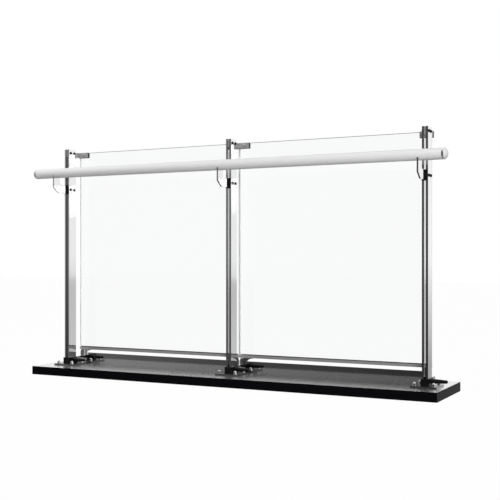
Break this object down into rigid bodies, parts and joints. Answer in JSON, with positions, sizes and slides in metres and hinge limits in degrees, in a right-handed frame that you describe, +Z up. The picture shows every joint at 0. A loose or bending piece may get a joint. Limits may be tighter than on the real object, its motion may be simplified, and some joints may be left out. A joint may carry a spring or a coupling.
{
  "type": "glass railing on a display plinth",
  "caption": "Glass railing in straight bays: clear panes clamped behind twin-bar steel posts, a round handrail on cranked brackets, and toe plates, all on a black plinth.",
  "frame": {"origin": "on the underside of the plinth, below the middle post", "axes": "+X along the railing to the right, +Y away from the handrail side, +Z up"},
  "size_m": [2.226, 0.395, 1.193],
  "materials": {
    "black_gloss": "polished black laminate with a mirror-like top",
    "clear_glass": "clear toughened glass",
    "polished_steel": "polished stainless steel",
    "satin_steel": "satin stainless steel",
    "black_metal": "black-coated metal",
    "fastener_steel": "bright stainless fasteners"
  },
  "bodies": {
    "root": {"plinth": "black_gloss", "foot_plate_left": "polished_steel", "foot_plate_middle": "polished_steel", "foot_plate_right": "polished_steel", "foot_nuts_left": "fastener_steel", "foot_nuts_middle": "fastener_steel", "foot_nuts_right": "fastener_steel", "post_left_bar_a": "polished_steel", "post_left_bar_b": "polished_steel", "post_middle_bar_a": "polished_steel", "post_middle_bar_b": "polished_steel", "post_right_bar_a": "polished_steel", "post_right_bar_b": "polished_steel", "post_bolts_left": "black_metal", "post_bolts_middle": "black_metal", "post_bolts_right": "black_metal", "clamp_arm_left": "polished_steel", "clamp_arm_middle": "polished_steel", "clamp_arm_right": "polished_steel", "clamp_front_left": "satin_steel", "clamp_front_middle": "satin_steel", "clamp_front_right": "satin_steel", "clamp_back_left": "satin_steel", "clamp_back_middle": "satin_steel", "clamp_back_right": "satin_steel", "glass_pane_left": "clear_glass", "glass_pane_right": "clear_glass", "bottom_rail_left": "satin_steel", "bottom_rail_right": "satin_steel", "toe_plate_left": "polished_steel", "toe_plate_right": "polished_steel", "toe_lugs": "polished_steel", "rail_haunches": "polished_steel", "foot_collar_left": "black_metal", "foot_collar_middle": "black_metal", "foot_collar_right": "black_metal", "handrail_tube": "satin_steel", "handrail_cap_left": "satin_steel", "handrail_cap_right": "satin_steel", "handrail_bracket_left": "polished_steel", "handrail_bracket_middle": "polished_steel", "handrail_bracket_right": "polished_steel", "face_plate_left": "polished_steel", "face_plate_middle": "polished_steel", "face_plate_right": "polished_steel"}
  },
  "joints": []
}
